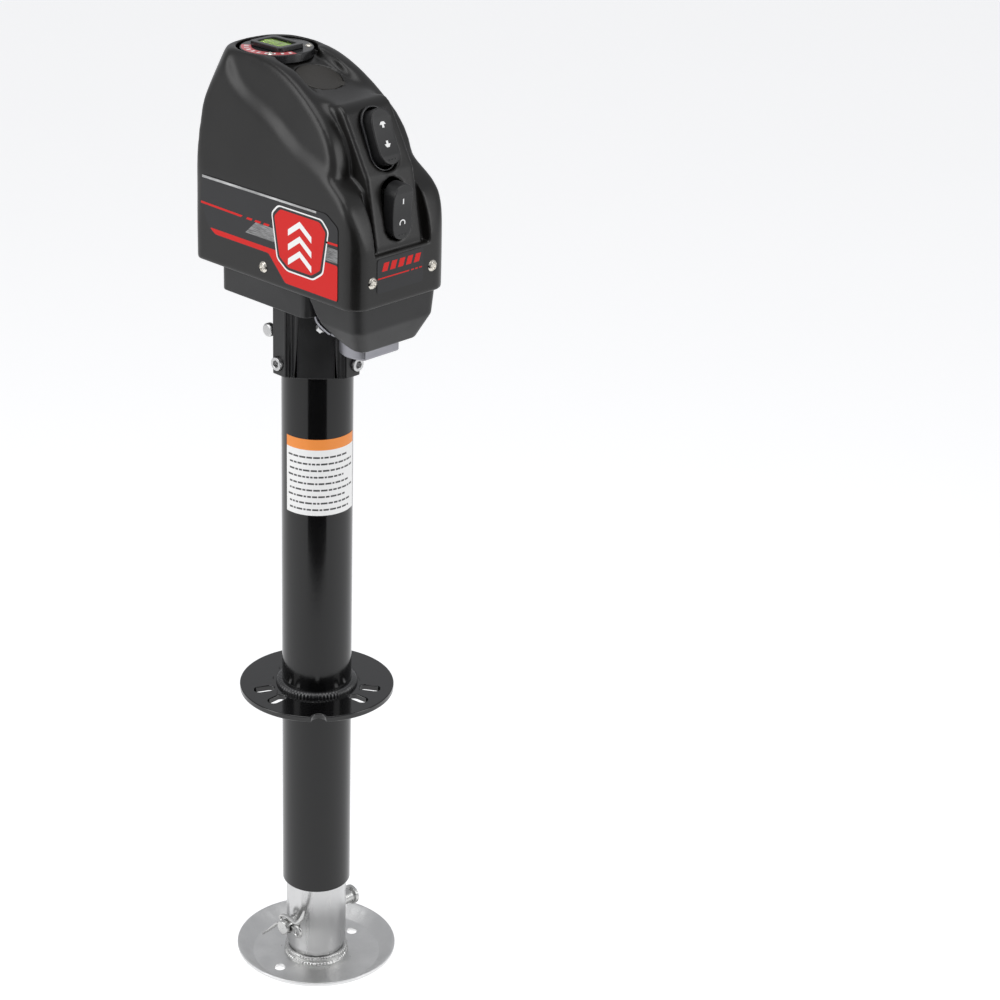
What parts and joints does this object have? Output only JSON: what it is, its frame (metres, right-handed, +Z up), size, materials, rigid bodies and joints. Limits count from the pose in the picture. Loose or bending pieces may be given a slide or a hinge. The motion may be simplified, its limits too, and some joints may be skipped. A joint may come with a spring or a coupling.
{
  "type": "tongue jack stand",
  "caption": "Powered trailer tongue jack stand: telescoping leg on a dished foot, slotted mounting flange, and a geared motor head with rocker switches and a bubble level.",
  "frame": {"origin": "on the floor, at the foot's centre, on the axis of the tube", "axes": "+Z up along the tube, -Y towards the switches and the motor, +X towards the clevis pin's head"},
  "size_m": [0.1358, 0.1882, 0.7923],
  "materials": {
    "zinc_plate": "zinc plated",
    "zinc_tube": "zinc plated, drawn",
    "gloss_black_paint": "gloss",
    "label_film": "satin",
    "machined_steel": "machined",
    "bronze": "machined",
    "copper": "machined",
    "nylon": "satin",
    "motor_steel": "zinc plated",
    "magnet": "matt",
    "cast_metal": "satin powder coat on a casting",
    "screw_steel": "plated",
    "black_plastic": "semi gloss",
    "switch_plastic": "satin",
    "soft_rubber": "matt",
    "decal_film": "gloss",
    "vial_glass": "clear",
    "vial_air": "clear"
  },
  "bodies": {
    "stand": {"outer_tube": "gloss_black_paint", "tube_bush": "nylon", "mounting_flange": "gloss_black_paint", "flange_weld": "gloss_black_paint", "tube_label": "label_film", "upper_race": "machined_steel", "motor_can": "motor_steel", "motor_bell": "motor_steel", "motor_magnets": "magnet", "motor_brushes": "magnet", "motor_cradle": "zinc_plate", "cradle_bolts": "zinc_plate", "gear_housing": "cast_metal", "housing_lid": "cast_metal", "lid_screws": "screw_steel", "screw_bush": "bronze", "set_screws": "screw_steel", "collar_bolt": "screw_steel", "cord_grommet": "soft_rubber", "motor_shroud": "black_plastic", "cover": "black_plastic", "cover_screws": "screw_steel", "side_decals": "decal_film", "front_decal": "decal_film", "level_plate": "black_plastic", "level_bezel": "black_plastic", "level_vial": "vial_glass", "level_bubble": "vial_air", "level_screws": "screw_steel", "boot_flanges": "black_plastic", "switch_bodies": "switch_plastic"},
    "ram": {"foot_pan": "zinc_plate", "foot_ring": "zinc_plate", "foot_spigot": "zinc_plate", "clevis_pin": "zinc_plate", "cotter_pin": "zinc_plate", "ram_tube": "zinc_tube", "ram_guide": "nylon", "screw_nut": "bronze"},
    "screw": {"leadscrew": "machined_steel", "screw_stop": "machined_steel", "lower_race": "machined_steel", "output_gear": "machined_steel", "screw_circlip": "machined_steel", "crank_socket": "machined_steel", "cross_pin": "machined_steel"},
    "cage": {"bearing_balls": "machined_steel", "bearing_cage": "machined_steel"},
    "cluster": {"cluster_gear": "machined_steel", "cluster_pinion": "machined_steel", "cluster_shaft": "machined_steel"},
    "rotor": {"motor_shaft": "machined_steel", "armature": "machined_steel", "commutator": "copper", "motor_pinion": "machined_steel"},
    "upper_switch": {"upper_boot": "soft_rubber", "upper_rocker": "switch_plastic"},
    "lower_switch": {"lower_boot": "soft_rubber", "lower_rocker": "switch_plastic"},
    "plug": {"override_plug": "soft_rubber"}
  },
  "joints": [
    {"name": "screw_spin", "type": "hinge", "parent": "stand", "child": "screw", "pos_m": [0, 0, 0.65], "axis": [0, 0, 1], "range_deg": [0, 25201]},
    {"name": "ram_slide", "type": "slide", "parent": "stand", "child": "ram", "axis": [0, 0, -1], "range_m": [0, 0.3556]},
    {"name": "cluster_spin", "type": "hinge", "parent": "stand", "child": "cluster", "pos_m": [0.01161, -0.03697, 0.65], "axis": [0, 0, 1], "range_deg": [-86401, 0]},
    {"name": "motor_spin", "type": "hinge", "parent": "stand", "child": "rotor", "pos_m": [0, -0.05797, 0.62], "axis": [0, 0, 1], "range_deg": [0, 259201]},
    {"name": "cage_spin", "type": "hinge", "parent": "stand", "child": "cage", "pos_m": [0, 0, 0.61], "axis": [0, 0, 1], "range_deg": [0, 12601]},
    {"name": "upper_switch_rock", "type": "hinge", "parent": "stand", "child": "upper_switch", "pos_m": [0, -0.0646, 0.7398], "axis": [1, 0, 0], "range_deg": [-10, 10], "stiffness_Nm_per_rad": 0.15},
    {"name": "lower_switch_rock", "type": "hinge", "parent": "stand", "child": "lower_switch", "pos_m": [0, -0.08485, 0.6905], "axis": [-1, 0, 0], "range_deg": [0, 28]},
    {"name": "plug_pull", "type": "slide", "parent": "stand", "child": "plug", "axis": [0, -0.309, 0.9511], "range_m": [0, 0.03]}
  ],
  "couplings": [
    {"joint": "screw_spin", "follows": "ram_slide", "rad_per_m": 1236.8},
    {"joint": "cluster_spin", "follows": "ram_slide", "rad_per_m": -4240.6},
    {"joint": "motor_spin", "follows": "ram_slide", "rad_per_m": 12722},
    {"joint": "cage_spin", "follows": "ram_slide", "rad_per_m": 618.42}
  ]
}
